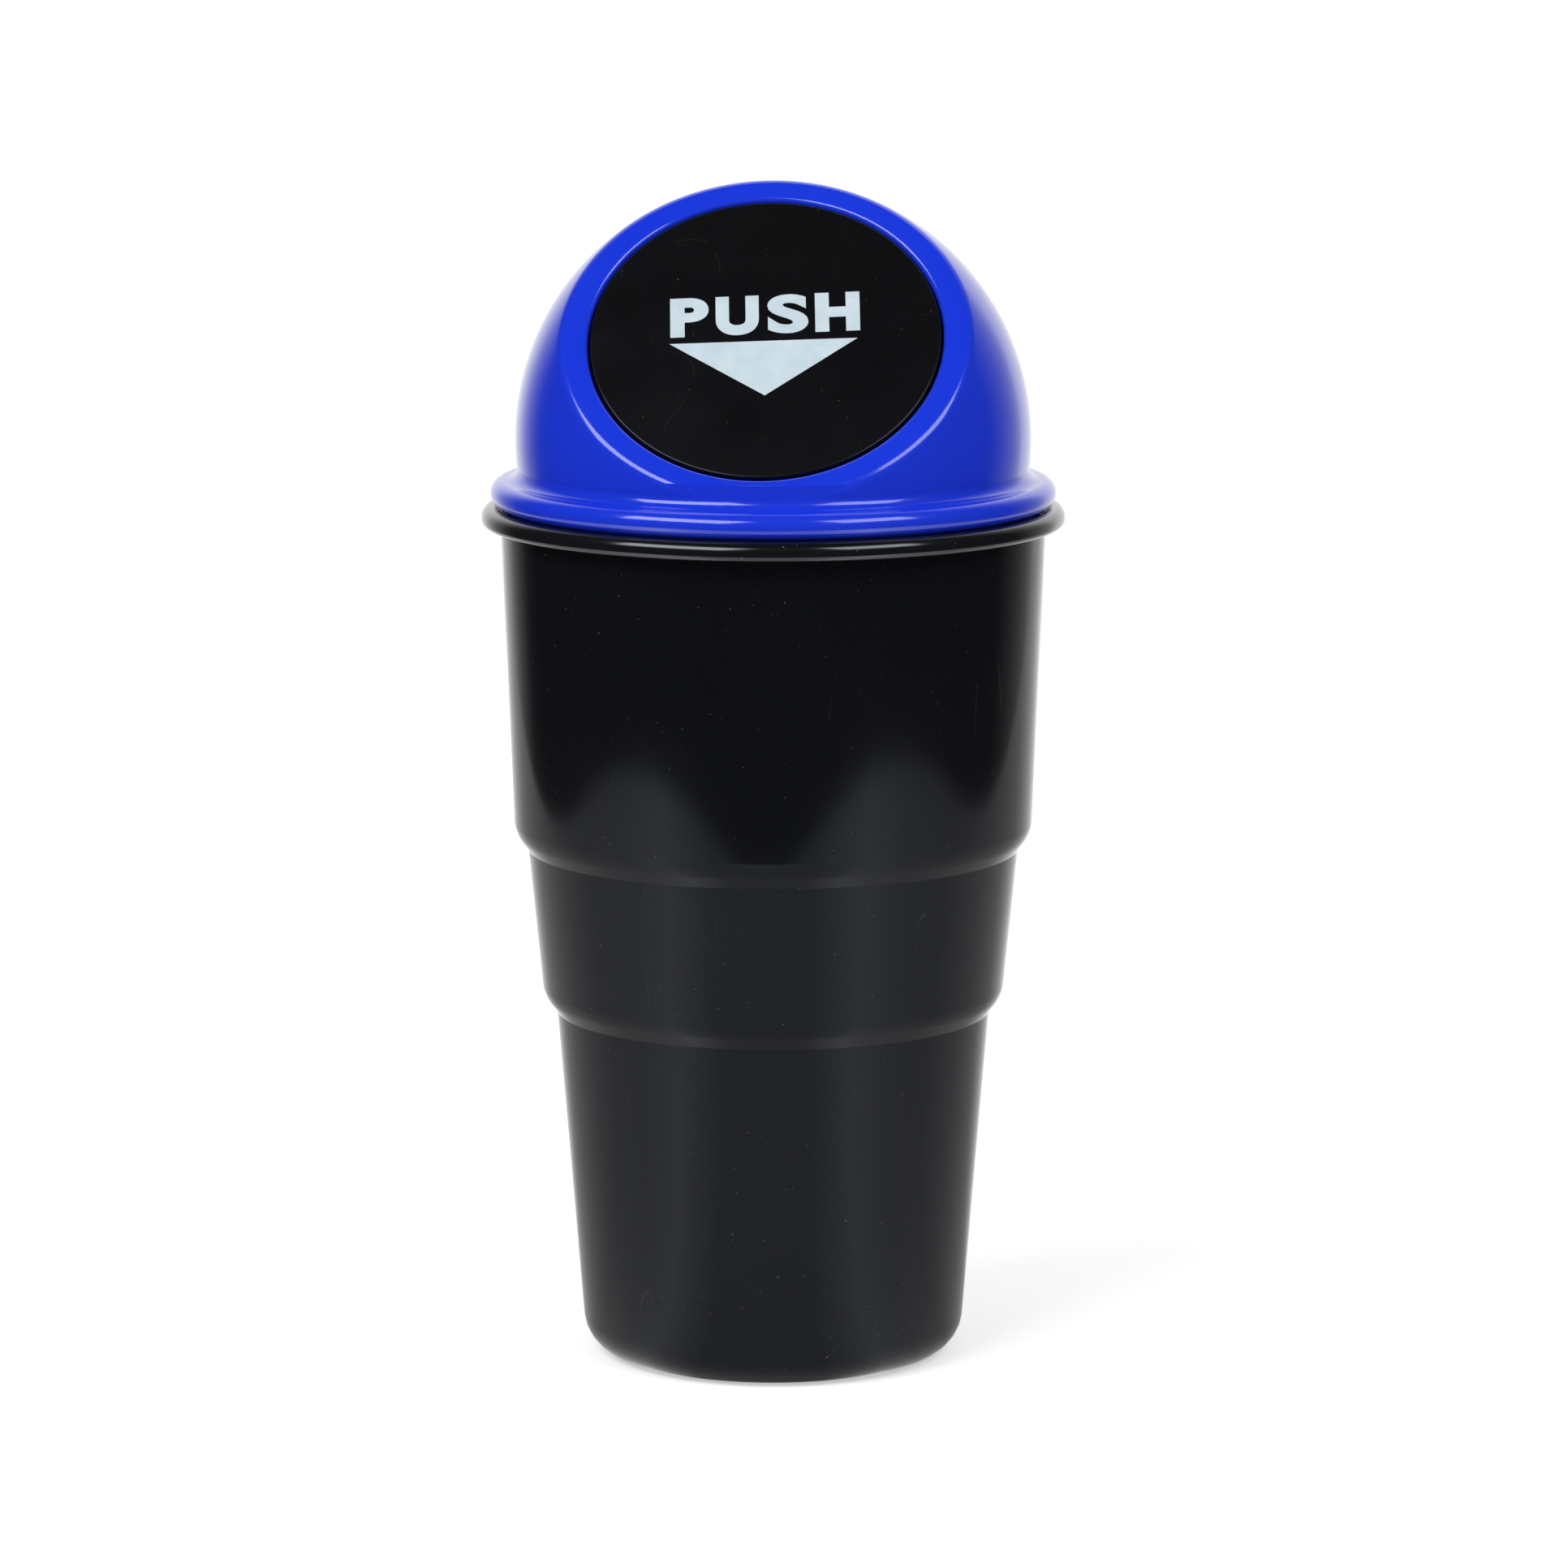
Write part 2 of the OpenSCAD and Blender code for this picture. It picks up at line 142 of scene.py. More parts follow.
def add_to(piece_mesh, other_mesh, matrix=Matrix.Identity(4)):
    """Moves other_mesh into piece_mesh, placed by a matrix."""
    bmesh.ops.transform(other_mesh, matrix=matrix, verts=other_mesh.verts)
    carrier = bpy.data.meshes.new("carrier")
    other_mesh.to_mesh(carrier)
    piece_mesh.from_mesh(carrier)
    bpy.data.meshes.remove(carrier)
    other_mesh.free()


def put_in_scene(piece_mesh, name, material):
    """Makes an object at the origin from a bmesh, and frees the bmesh."""
    mesh = bpy.data.meshes.new(name)
    piece_mesh.to_mesh(mesh)
    piece_mesh.free()
    mesh.materials.append(material)
    thing = bpy.data.objects.new(name, mesh)
    bpy.context.scene.collection.objects.link(thing)
    return thing


def finish_piece(piece_mesh, name, body, material, nodes=()):
    """Closes, smooths and dresses a piece, and lets it ride on its body if it has just one."""
    bmesh.ops.remove_doubles(piece_mesh, verts=piece_mesh.verts, dist=WELD)
    bmesh.ops.dissolve_degenerate(piece_mesh, edges=piece_mesh.edges, dist=WELD / 2)
    # A section's edge along the axis is left as a lone line, which bounds no face
    lone_lines = [edge for edge in piece_mesh.edges if edge.is_wire]
    bmesh.ops.delete(piece_mesh, geom=lone_lines, context="EDGES")
    bmesh.ops.recalc_face_normals(piece_mesh, faces=piece_mesh.faces)
    open_edges = sum(not edge.is_manifold for edge in piece_mesh.edges)
    piece = put_in_scene(piece_mesh, name, material)
    piece.data.shade_smooth()
    piece.data.set_sharp_from_angle(angle=SMOOTH_ANGLE)
    if body:
        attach(piece, body)
    if nodes:
        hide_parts(*nodes)
    print(f"{name}: {len(piece.data.polygons)} faces, {open_edges} open edges, "
          f"rides on {body or 'two bodies'}")
    return piece


# %% [markdown]
# ## Materials
#
# All of it is moulded polypropylene apart from the ink, the pin and the spring. One colour
# and one gloss would make it look like a drawing. Real plastic shows three things up close:
# the gloss wanders a little where the mould was polished by hand, dust sits on it as pale
# specks, and the dark parts carry a few faint hairline scratches. Its mirror is tinted a little
# blue, a painted tint for cool light on paper and room, because the lamps here are white.
#
# Colours are the hex values that a paint program would show, so one function turns them to
# the linear values that shaders work with. One more adds a node with its settings and links.

# %% Colour and node helpers
def colour(hex_value):
    """sRGB hex to linear red, green, blue and alpha."""
    channels = [int(hex_value[i:i + 2], 16) / 255 for i in (1, 3, 5)]
    linear = [c / 12.92 if c <= 0.04045 else ((c + 0.055) / 1.055) ** 2.4 for c in channels]
    return (*linear, 1.0)


def add_node(tree, kind, sockets=None, **settings):
    """Adds a node. sockets maps an input to a value or to another node's output."""
    node = tree.nodes.new(kind)
    for key, value in settings.items():
        setattr(node, key, value)
    for key, value in (sockets or {}).items():
        if isinstance(value, bpy.types.NodeSocket):
            tree.links.new(value, node.inputs[key])
        else:
            node.inputs[key].default_value = value
    return node


def new_material(name):
    """A material, with its nodes, its shader and the coordinates of the object it is on."""
    material = bpy.data.materials.new(name)
    material.use_nodes = True
    tree = material.node_tree
    place = add_node(tree, "ShaderNodeTexCoord").outputs["Object"]
    return material, tree, tree.nodes["Principled BSDF"], place


# %% [markdown]
# Dust and scratches are drawn over the plastic's own colour, so each is a step that takes a
# colour and gives one back. Dust could be scattered as tiny solids, but at 0.25 mm a pale
# speck in the colour looks the same. A scratch could be a bump, but one this fine catches
# the light only now and then, and a pale line stands for that.

# %% Dust and hairline scratches
# A speck is half a wave of its noise wide, and a hairline follows the waves of its own
SPECK_MM, SPECK_FROM, SPECK_FULL, SPECK_COVER = 0.5, 0.80, 0.83, 0.35
SCRATCH_MM, SCRATCH_STRETCH, SCRATCH_WIDTH = 14, 0.2, 0.0012
SCRATCHED_FROM, SCRATCHED_FULL = 0.56, 0.66


def with_dust(tree, place, base, dust):
    """Lays pale specks over a colour, where a fine noise peaks."""
    specks = add_node(tree, "ShaderNodeTexNoise",
                      {"Vector": place, "Scale": 1 / (SPECK_MM * MM),
                       "Detail": 1.0}).outputs["Fac"]
    dusty = add_node(tree, "ShaderNodeMapRange",
                     {"Value": specks, "From Min": SPECK_FROM - dust,
                      "From Max": SPECK_FULL - dust, "To Max": SPECK_COVER}).outputs["Result"]
    return add_node(tree, "ShaderNodeMix",
                    {"Factor": dusty, "A": base, "B": colour("#8e8f8c")},
                    data_type="RGBA").outputs["Result"]


def with_scratches(tree, place, patches, base, scratches):
    """Lays hairlines over a colour, where a long-drawn noise crosses its middle."""
    upright = add_node(tree, "ShaderNodeMapping",
                       {"Vector": place, "Scale": (1.0, 1.0, SCRATCH_STRETCH)}).outputs["Vector"]
    swirl = add_node(tree, "ShaderNodeTexNoise",
                     {"Vector": upright, "Scale": 1 / (SCRATCH_MM * MM),
                      "Detail": 0.0}).outputs["Fac"]
    hairline = add_node(tree, "ShaderNodeMath", {0: swirl, 1: 0.5, 2: SCRATCH_WIDTH},
                        operation="COMPARE").outputs[0]
    where = add_node(tree, "ShaderNodeMapRange",
                     {"Value": patches, "From Min": SCRATCHED_FROM,
                      "From Max": SCRATCHED_FULL, "To Max": scratches}).outputs["Result"]
    scratched = add_node(tree, "ShaderNodeMath", {0: hairline, 1: where}, operation="MULTIPLY")
    return add_node(tree, "ShaderNodeMix",
                    {"Factor": scratched.outputs[0], "A": base, "B": colour("#7c7d7c")},
                    data_type="RGBA").outputs["Result"]


# %% Moulded plastic
POLYPROPYLENE_IOR = 1.49
# Painted tint of the reflections, for cool light that the white lamps don't give
COOL_LIGHT = (0.87, 0.92, 1.0, 1.0)
GRAIN_MM = 0.4  # far finer on a real mould, but drawn this wide so that it shows


def moulded_plastic(name, main_hex, worn_hex, roughness, rough_spread, patch_mm, grain_um,
                    specular=0.5, coat=0.0, coat_roughness=0.1, dust=0.0, scratches=0.0):
    """Injection-moulded plastic whose colour, gloss and skin wander slightly.

    patch_mm is the size of the patches in which the gloss wanders, grain_um the height
    of the mould's fine grain, dust how readily dust specks show, and scratches how far
    the hairline scratches stand out.
    """
    material, tree, shader, place = new_material(name)
    patches = add_node(tree, "ShaderNodeTexNoise",
                       {"Vector": place, "Scale": 1 / (patch_mm * MM), "Detail": 4.0,
                        "Roughness": 0.6}).outputs["Fac"]
    base = add_node(tree, "ShaderNodeMix",
                    {"Factor": patches, "A": colour(main_hex), "B": colour(worn_hex)},
                    data_type="RGBA").outputs["Result"]
    dusted = with_dust(tree, place, base, dust)
    worn = with_scratches(tree, place, patches, dusted, scratches)
    tree.links.new(worn, shader.inputs["Base Color"])

    # A noise seldom leaves 0.3 to 0.7, so that range is spread over the whole gloss
    gloss = add_node(tree, "ShaderNodeMapRange",
                     {"Value": patches, "From Min": 0.3, "From Max": 0.7,
                      "To Min": roughness - rough_spread, "To Max": roughness + rough_spread})
    tree.links.new(gloss.outputs["Result"], shader.inputs["Roughness"])
    grain = add_node(tree, "ShaderNodeTexNoise",
                     {"Vector": place, "Scale": 1 / (GRAIN_MM * MM), "Detail": 2.0}).outputs["Fac"]
    skin = add_node(tree, "ShaderNodeBump",
                    {"Height": grain, "Strength": 1.0, "Distance": grain_um * MM / 1000})
    tree.links.new(skin.outputs["Normal"], shader.inputs["Normal"])
    for socket, value in (("IOR", POLYPROPYLENE_IOR), ("Specular Tint", COOL_LIGHT),
                          ("Specular IOR Level", specular), ("Coat Weight", coat),
                          ("Coat Roughness", coat_roughness)):
        shader.inputs[socket].default_value = value
    return material


# %% [markdown]
# The cup is black polypropylene with a soft gloss and little mirror in it: what shows is
# the table below and the pale backdrop along its outline. Its rim bead is the same plastic,
# but the lid and hands have rubbed it to a polish, which a clear coat gives. The lid is from
# a high-gloss mould, pigmented ultramarine, so lamps show in it as clean white lines. The
# flap is satin black and mirrors next to nothing.

# %% The four plastics
cup_plastic = moulded_plastic("moulded_polypropylene_black", "#0f1013", "#131417",
                              roughness=0.075, rough_spread=0.01, patch_mm=18, grain_um=0.1,
                              specular=0.18, dust=0.02, scratches=0.12)
lid_plastic = moulded_plastic("moulded_polypropylene_ultramarine", "#1736da", "#1a3ae0",
                              roughness=0.17, rough_spread=0.02, patch_mm=22, grain_um=0.1,
                              coat=0.65, coat_roughness=0.07)
flap_plastic = moulded_plastic("moulded_polypropylene_satin_black", "#0a0a0c", "#0e0e10",
                               roughness=0.26, rough_spread=0.02, patch_mm=12, grain_um=0.6,
                               dust=0.01, scratches=0.12)
rim_plastic = moulded_plastic("moulded_polypropylene_polished_black", "#0f1013", "#131417",
                              roughness=0.16, rough_spread=0.02, patch_mm=18, grain_um=0.1,
                              coat=0.5, coat_roughness=0.14, dust=0.05)
for plastic in (cup_plastic, lid_plastic, flap_plastic, rim_plastic):
    print("plastic:", plastic.name, "with", len(plastic.node_tree.nodes), "nodes")

# %% [markdown]
# The white of the letters is pad-printed ink: a film of about 10 micrometres that is dull
# and a little patchy, because the soft pad presses it on unevenly.

# %% Pad-printed ink
INK_PATCH_MM, INK_FILM_MM = 3, 0.01


def printed_ink():
    """Pale grey-blue ink, mottled where the pad pressed less."""
    material, tree, shader, place = new_material("pad_printed_ink_white")
    mottle = add_node(tree, "ShaderNodeTexNoise",
                      {"Vector": place, "Scale": 1 / (INK_PATCH_MM * MM),
                       "Detail": 5.0}).outputs["Fac"]
    film = add_node(tree, "ShaderNodeMix",
                    {"Factor": mottle, "A": colour("#b6cbd7"), "B": colour("#d6e4eb")},
                    data_type="RGBA").outputs["Result"]
    tree.links.new(film, shader.inputs["Base Color"])
    skin = add_node(tree, "ShaderNodeBump", {"Height": mottle, "Distance": INK_FILM_MM * MM})
    tree.links.new(skin.outputs["Normal"], shader.inputs["Normal"])
    shader.inputs["Roughness"].default_value = 0.5
    return material


ink = printed_ink()
print("ink:", ink.name)

# %% [markdown]
# The pin is drawn stainless rod and the spring is drawn music wire. Drawing leaves fine
# scratches along the wire, so the gloss changes fast across it and slowly along it. A metal
# has no colour under its shine: its colour is the tint of what it mirrors.

# %% Drawn wire
DRAW_LINE_MM, DRAW_STRETCH = 0.15, 0.08
SHINIER, DULLER = 0.08, 0.1


def drawn_metal(name, light_hex, dark_hex, roughness):
    """Metal with draw lines along X, wider apart than real ones so that they show."""
    material, tree, shader, place = new_material(name)
    along = add_node(tree, "ShaderNodeMapping",
                     {"Vector": place, "Scale": (DRAW_STRETCH, 1.0, 1.0)}).outputs["Vector"]
    lines = add_node(tree, "ShaderNodeTexNoise",
                     {"Vector": along, "Scale": 1 / (DRAW_LINE_MM * MM),
                      "Detail": 3.0}).outputs["Fac"]
    tint = add_node(tree, "ShaderNodeMix",
                    {"Factor": lines, "A": colour(dark_hex), "B": colour(light_hex)},
                    data_type="RGBA").outputs["Result"]
    tree.links.new(tint, shader.inputs["Base Color"])
    gloss = add_node(tree, "ShaderNodeMapRange",
                     {"Value": lines, "To Min": roughness - SHINIER,
                      "To Max": roughness + DULLER})
    tree.links.new(gloss.outputs["Result"], shader.inputs["Roughness"])
    shader.inputs["Metallic"].default_value = 1.0
    return material


pin_steel = drawn_metal("drawn_stainless_rod", "#c9cbce", "#a9abae", roughness=0.28)
spring_steel = drawn_metal("drawn_music_wire", "#b4b3b0", "#8b8a87", roughness=0.32)
print("metals:", pin_steel.name, spring_steel.name)

# %% [markdown]
# ## The cup
#
# The real cup has three tiers. Each is a slightly open cone, so that the cup leaves its
# mould, and each is 4 to 5 mm wider than the one below, with a soft shoulder between them.
# The lowest fits a cup holder. A lathe-like spin of one closed section gives the outside,
# the inside and the foot at once, with the same 1.5 mm wall all the way.
#
# The rim bead belongs to the same section: full and round on top and on the inside, where
# the lid is seated against it, but nearly flat underneath, with a small radius. Its faces
# get the polished black as a second material.

# %% Cup
cup_corners = [
    # Lifted base, foot ring and lowest tier
    (0, 1, 0), (20.2, 1, 0.4), (21.2, 0, 0.4), (30.8, 0, 6.25), (35.6, 57.2, 0.5),
    # Middle and upper tier
    (37.8, 60.1, 5), (40.2, 84.2, 0.5), (42.4, 87.1, 5), (44.35, 137.6, 0.3),
    # Rim bead, and the step inside it
    (47.48, 137.6, 0.9), (47.48, 140.7, 1.85), (43.7, 140.7, 1.85), (43.7, 138.8, 0),
    (42.9, 138.8, 0.2),
    # Inside, from the top down
    (40.92, 87.63, 3.5), (38.75, 84.77, 2), (36.35, 60.67, 3.5), (34.14, 57.76, 2),
    (29.52, 2.6, 4.75), (0, 2.6, 0),
]
RIM_FROM = 137.5
cup_shell = finish_piece(spun_solid(cup_corners), "cup_shell", "cup", cup_plastic,
                         ["bin_cup"])
cup_shell.data.materials.append(rim_plastic)
on_rim = [face for face in cup_shell.data.polygons if face.center.z > RIM_FROM * MM]
for face in on_rim:
    face.material_index = 1
print("polished rim:", len(on_rim), "faces")

# %% [markdown]
# ## The dome lid
#
# The dome is a sphere of 42 mm radius with a flat slice cut off at 45 degrees. The cut is
# closed by a flat ring with a rounded outer edge, and a collar runs inwards from it round
# the flap.
#
# A sphere primitive with a cut would put its pole or its seam somewhere visible. This dome
# is spun about the mouth's own axis, so its rows of faces follow the ring, the ring's
# rounding stays exact, and the only pole is at the back of the sphere, below the part that
# is used. A wire point that is itself spun draws the arcs of the section.

# %% Section of dome, ring and collar
WALL = 1.6
DOME_R, DOME_IN_R = 41.9, 40.3
FACE_OUT, MOUTH_R, COLLAR_OUT, COLLAR_R = 26.1, 28.478, 18.1, 29.978
EDGE_ROUND, LIP_ROUND = 2.2, 0.9
OUTER_STEPS, EDGE_STEPS, INNER_STEPS = 72, 8, 48
face_back = FACE_OUT - WALL
edge_mid = (sqrt((DOME_R - EDGE_ROUND) ** 2 - (FACE_OUT - EDGE_ROUND) ** 2),
            FACE_OUT - EDGE_ROUND)
edge_angle = atan2(edge_mid[1], edge_mid[0])


def draw_arc(piece_mesh, start, centre, angle, steps):
    """Spins one point of the section about a centre, and returns the arc's last point."""
    bmesh.ops.spin(piece_mesh, geom=[start], cent=(centre[0] * MM, 0, centre[1] * MM),
                   axis=(0, -1, 0), angle=angle, steps=steps, use_merge=False,
                   use_duplicate=False)
    piece_mesh.verts.ensure_lookup_table()
    return piece_mesh.verts[-1]


dome_mesh = bmesh.new()
rim_point = section_point(dome_mesh, DOME_R * cos(edge_angle), DOME_R * sin(edge_angle))
draw_arc(dome_mesh, rim_point, (0, 0), -(edge_angle + pi / 2), OUTER_STEPS)
face_point = draw_arc(dome_mesh, rim_point, edge_mid, pi / 2 - edge_angle, EDGE_STEPS)
inner_rim = section_point(dome_mesh, sqrt(DOME_IN_R ** 2 - face_back ** 2), face_back)
inner_angle = atan2(inner_rim.co.z, inner_rim.co.x)
draw_arc(dome_mesh, inner_rim, (0, 0), -(inner_angle + pi / 2), INNER_STEPS)
print("arcs of the dome's section:", len(dome_mesh.verts), "points")

# %% Join the arcs round the mouth, and spin them
mouth_points = [section_point(dome_mesh, across, up) for across, up in
                ((MOUTH_R, FACE_OUT), (MOUTH_R, COLLAR_OUT), (COLLAR_R, COLLAR_OUT),
                 (COLLAR_R, face_back))]
for here, after in zip([face_point] + mouth_points, mouth_points + [inner_rim]):
    dome_mesh.edges.new((here, after))
round_corners(dome_mesh, [mouth_points[0]], LIP_ROUND * MM)
spin_section(dome_mesh)
bmesh.ops.remove_doubles(dome_mesh, verts=dome_mesh.verts, dist=WELD)
bmesh.ops.transform(dome_mesh, matrix=TO_MOUTH, verts=dome_mesh.verts)
print("dome:", len(dome_mesh.faces), "faces before the cut")

# %% [markdown]
# The sphere is cut off level with the flange. Only the two walls are cut, not the collar,
# which reaches a little lower in front. The cut leaves two circles, and triangles between
# them close the wall's lower edge. A bridge would twist there, because the circles have
# different numbers of points.

# %% Cut the dome off above the flange
CUT_Z, WALLS_UP_TO = 144.5, 152
WALLS_FROM_R = DOME_IN_R - 0.1
walls = [face for face in dome_mesh.faces
         if all((vert.co - DOME_CENTRE).length > WALLS_FROM_R * MM for vert in face.verts)
         and face.calc_center_median().z < WALLS_UP_TO * MM]
wall_parts = set(walls)
for face in walls:
    wall_parts.update(face.edges, face.verts)
cut = bmesh.ops.bisect_plane(dome_mesh, geom=list(wall_parts), plane_co=(0, 0, CUT_Z * MM),
                             plane_no=(0, 0, -1), clear_outer=True, clear_inner=False)
cut_edges = only(BMEdge, cut["geom_cut"])
bmesh.ops.triangle_fill(dome_mesh, edges=cut_edges, use_beauty=True, normal=(0, 0, -1))
print("dome:", len(dome_mesh.faces), "faces after the cut, whose two circles have",
      len(cut_edges), "edges")

# %% [markdown]
# Under the dome, the lid widens to a flange with a full round edge, which rests on the cup.
# Inside it a skirt plugs into the cup. This is one more section about the upright axis. Its
# neck curves up into the sphere and ends inside the wall, so the two read as one moulding.

# %% Flange and skirt
flange_corners = [
    # Neck, inside the dome's wall
    (41.641, 148.92, 0), (41.025, 148.92, 0), (39.475, 144.92, 0),
    # Skirt, down its inside and up its outside
    (41.0, 138.8, 0), (40.69, 130.8, 0.5), (42.29, 130.8, 0.5), (42.6, 138.8, 0.2),
    # Seat on the cup's rim, and flange
    (43.4, 138.8, 0), (43.4, 140.52, 0.3), (46.0, 140.52, 2.15), (46.0, 144.92, 2.15),
    (41.641, 144.92, 2),
]
add_to(dome_mesh, spun_solid(flange_corners))
print("dome and flange:", len(dome_mesh.faces), "faces")

# %% [markdown]
# Behind the mouth, the collar carries a ledge that stops the shut flap, and two ears that
# hold the pin. The ledge is part of a ring, so its section is spun through 104 degrees and
# its two open ends are filled. An ear is a rounded block with a slot, through which the
# pin's end snaps in from behind.

# %% Stop ledge
IN_COLLAR_R = 29.2  # ledge and ears end at this radius, inside the collar's wall
LEDGE_R, LEDGE_BACK, LEDGE_FRONT, LEDGE_ROUND = 26.38, 22.4, 24, 0.3
LEDGE_START, LEDGE_SWEEP, LEDGE_STEPS = radians(38), radians(104), 52


def ledge():
    """Ring segment behind the upper part of the flap."""
    piece_mesh = bmesh.new()
    draw_section(piece_mesh, [(LEDGE_R, LEDGE_BACK, LEDGE_ROUND), (IN_COLLAR_R, LEDGE_BACK, 0),
                              (IN_COLLAR_R, LEDGE_FRONT, 0), (LEDGE_R, LEDGE_FRONT, LEDGE_ROUND)])
    bmesh.ops.rotate(piece_mesh, verts=piece_mesh.verts, cent=(0, 0, 0),
                     matrix=Matrix.Rotation(LEDGE_START, 3, "Z"))
    spin_section(piece_mesh, LEDGE_STEPS, LEDGE_SWEEP)
    bmesh.ops.holes_fill(piece_mesh, edges=piece_mesh.edges)
    return piece_mesh


# %% Pin ears
PIN_UP, PIN_OUT = 12.0, 21.8
EAR_R, EAR_ROUND = 2.6, 2.55
EAR_FROM_X, EAR_X, EAR_END_T, OVERLAP = 24.3, 28.83, 0.8, 0.02
SLOT_HALF, SLOT_END, BORE_HALF, BORE_FROM, BORE_ROUND = 0.85, 0.75, 1.05, 0.4, 1
TRIM_WAY = Vector((EAR_X - 3, PIN_UP, 0)).normalized()  # from the mouth's axis to the ear


def ear_slice(corners, from_x, to_x):
    """Fills a section of the ear, given as (up, out, rounding), and extrudes it along X."""
    piece_mesh = bmesh.new()
    draw_section(piece_mesh, corners)
    bmesh.ops.contextual_create(piece_mesh, geom=piece_mesh.edges)
    grown = bmesh.ops.extrude_face_region(piece_mesh, geom=piece_mesh.faces)
    bmesh.ops.translate(piece_mesh, vec=(0, (from_x - to_x) * MM, 0),
                        verts=only(BMVert, grown["geom"]))
    turn = Matrix.Translation((from_x * MM, 0, 0)) @ Matrix.Rotation(pi / 2, 4, "Z")
    bmesh.ops.transform(piece_mesh, matrix=turn, verts=piece_mesh.verts)
    return piece_mesh


def ear(side):
    """Block with a round end, slotted from behind, with a closed wall at its far end."""
    low, high, top = PIN_UP - EAR_R, PIN_UP + EAR_R, PIN_OUT + EAR_R
    outline = [(low, COLLAR_OUT, 0), (low, top, EAR_ROUND), (high, top, EAR_ROUND),
               (high, COLLAR_OUT, 0)]
    half_hole = [(SLOT_HALF, COLLAR_OUT, 0), (SLOT_HALF, PIN_OUT - SLOT_END, 0),
                 (BORE_HALF, PIN_OUT - BORE_FROM, 0), (BORE_HALF, PIN_OUT + BORE_HALF, BORE_ROUND)]
    keyhole = [(PIN_UP + half, out, rounding) for half, out, rounding in half_hole]
    keyhole += [(PIN_UP - half, out, rounding) for half, out, rounding in half_hole[::-1]]
    piece_mesh = ear_slice(outline + keyhole, EAR_FROM_X, EAR_X - EAR_END_T)
    # A plane inside the collar's wall cuts off what would reach into the mouth
    everything = piece_mesh.verts[:] + piece_mesh.edges[:] + piece_mesh.faces[:]
    trim = bmesh.ops.bisect_plane(piece_mesh, geom=everything,
                                  plane_co=TRIM_WAY * IN_COLLAR_R * MM, plane_no=TRIM_WAY,
                                  clear_inner=True)
    bmesh.ops.triangle_fill(piece_mesh, edges=only(BMEdge, trim["geom_cut"]), use_beauty=True,
                            normal=-TRIM_WAY)
    add_to(piece_mesh, ear_slice(outline, EAR_X - EAR_END_T - OVERLAP, EAR_X))
    bmesh.ops.scale(piece_mesh, vec=(side, 1, 1), verts=piece_mesh.verts)
    return piece_mesh


for side in (-1, 1):
    add_to(dome_mesh, ear(side), TO_MOUTH)
add_to(dome_mesh, ledge(), TO_MOUTH)
finish_piece(dome_mesh, "dome_lid_shell", "lid", lid_plastic, ["dome_lid"])

# %% [markdown]
# ## The push flap
#
# The flap is a thin round plate with a rounded front edge. Its back, which shows when it
# swings in, has a ring rib and two straight ribs that keep it flat, and four knuckles that
# turn on the pin. Plate and ring rib are spun about the mouth's axis, the knuckles about
# the pin's, and the straight ribs are bevelled blocks.

# %% Plate and ribs
FLAP_R, FLAP_FRONT, FLAP_BACK = 28.128, 26.0, 24.2
RIB_BACK, RIB_ROOT, RIB_ROUND = 22.7, 24.8, 0.15
RING_IN_R, RING_R, RING_ROUND, RING_STEPS = 23.53, 24.73, 0.2, 96
RIB_X, RIB_HALF_T, RIB_HALF_L = 4.45, 0.6, 22
flap_mesh = spun_solid([(0, FLAP_BACK, 0), (FLAP_R, FLAP_BACK, 0.2), (FLAP_R, FLAP_FRONT, 0.3),
                        (0, FLAP_FRONT, 0)])
ring_rib = [(RING_IN_R, RIB_BACK, RING_ROUND), (RING_R, RIB_BACK, RING_ROUND),
            (RING_R, RIB_ROOT, 0), (RING_IN_R, RIB_ROOT, 0)]
add_to(flap_mesh, spun_solid(ring_rib, RING_STEPS))


def block(low, high, rounding):
    """Box between two corners, with its edges bevelled."""
    piece_mesh = bmesh.new()
    size = [(b - a) * MM for a, b in zip(low, high)]
    middle = [(a + b) / 2 * MM for a, b in zip(low, high)]
    bmesh.ops.create_cube(piece_mesh, size=1.0)
    bmesh.ops.scale(piece_mesh, vec=size, verts=piece_mesh.verts)
    bmesh.ops.translate(piece_mesh, vec=middle, verts=piece_mesh.verts)
    bmesh.ops.bevel(piece_mesh, geom=piece_mesh.edges[:], offset=rounding * MM,
                    offset_type="OFFSET", affect="EDGES", segments=2, profile=0.5, material=-1)
    return piece_mesh


for rib_x in (-RIB_X, RIB_X):
    add_to(flap_mesh, block((rib_x - RIB_HALF_T, -RIB_HALF_L, RIB_BACK),
                            (rib_x + RIB_HALF_T, RIB_HALF_L, RIB_ROOT), RIB_ROUND))
print("flap:", len(flap_mesh.faces), "faces with its ribs")

# %% Knuckles
KNUCKLE_BORE_R, KNUCKLE_R = 1.1, 2.3
THIN_AROUND = 40            # faces round a thin piece
SADDLE_FROM, SADDLE_SINK, SADDLE_ROUND = 1.2, 0.6, 0.1
KNUCKLES = ((3.45, 5.45), (19.4, 22.4), (-5.45, -3.45), (-22.4, -19.4))
TO_PIN = Matrix.Translation(Vector((0, PIN_UP, PIN_OUT)) * MM) @ Matrix.Rotation(pi / 2, 4, "Y")


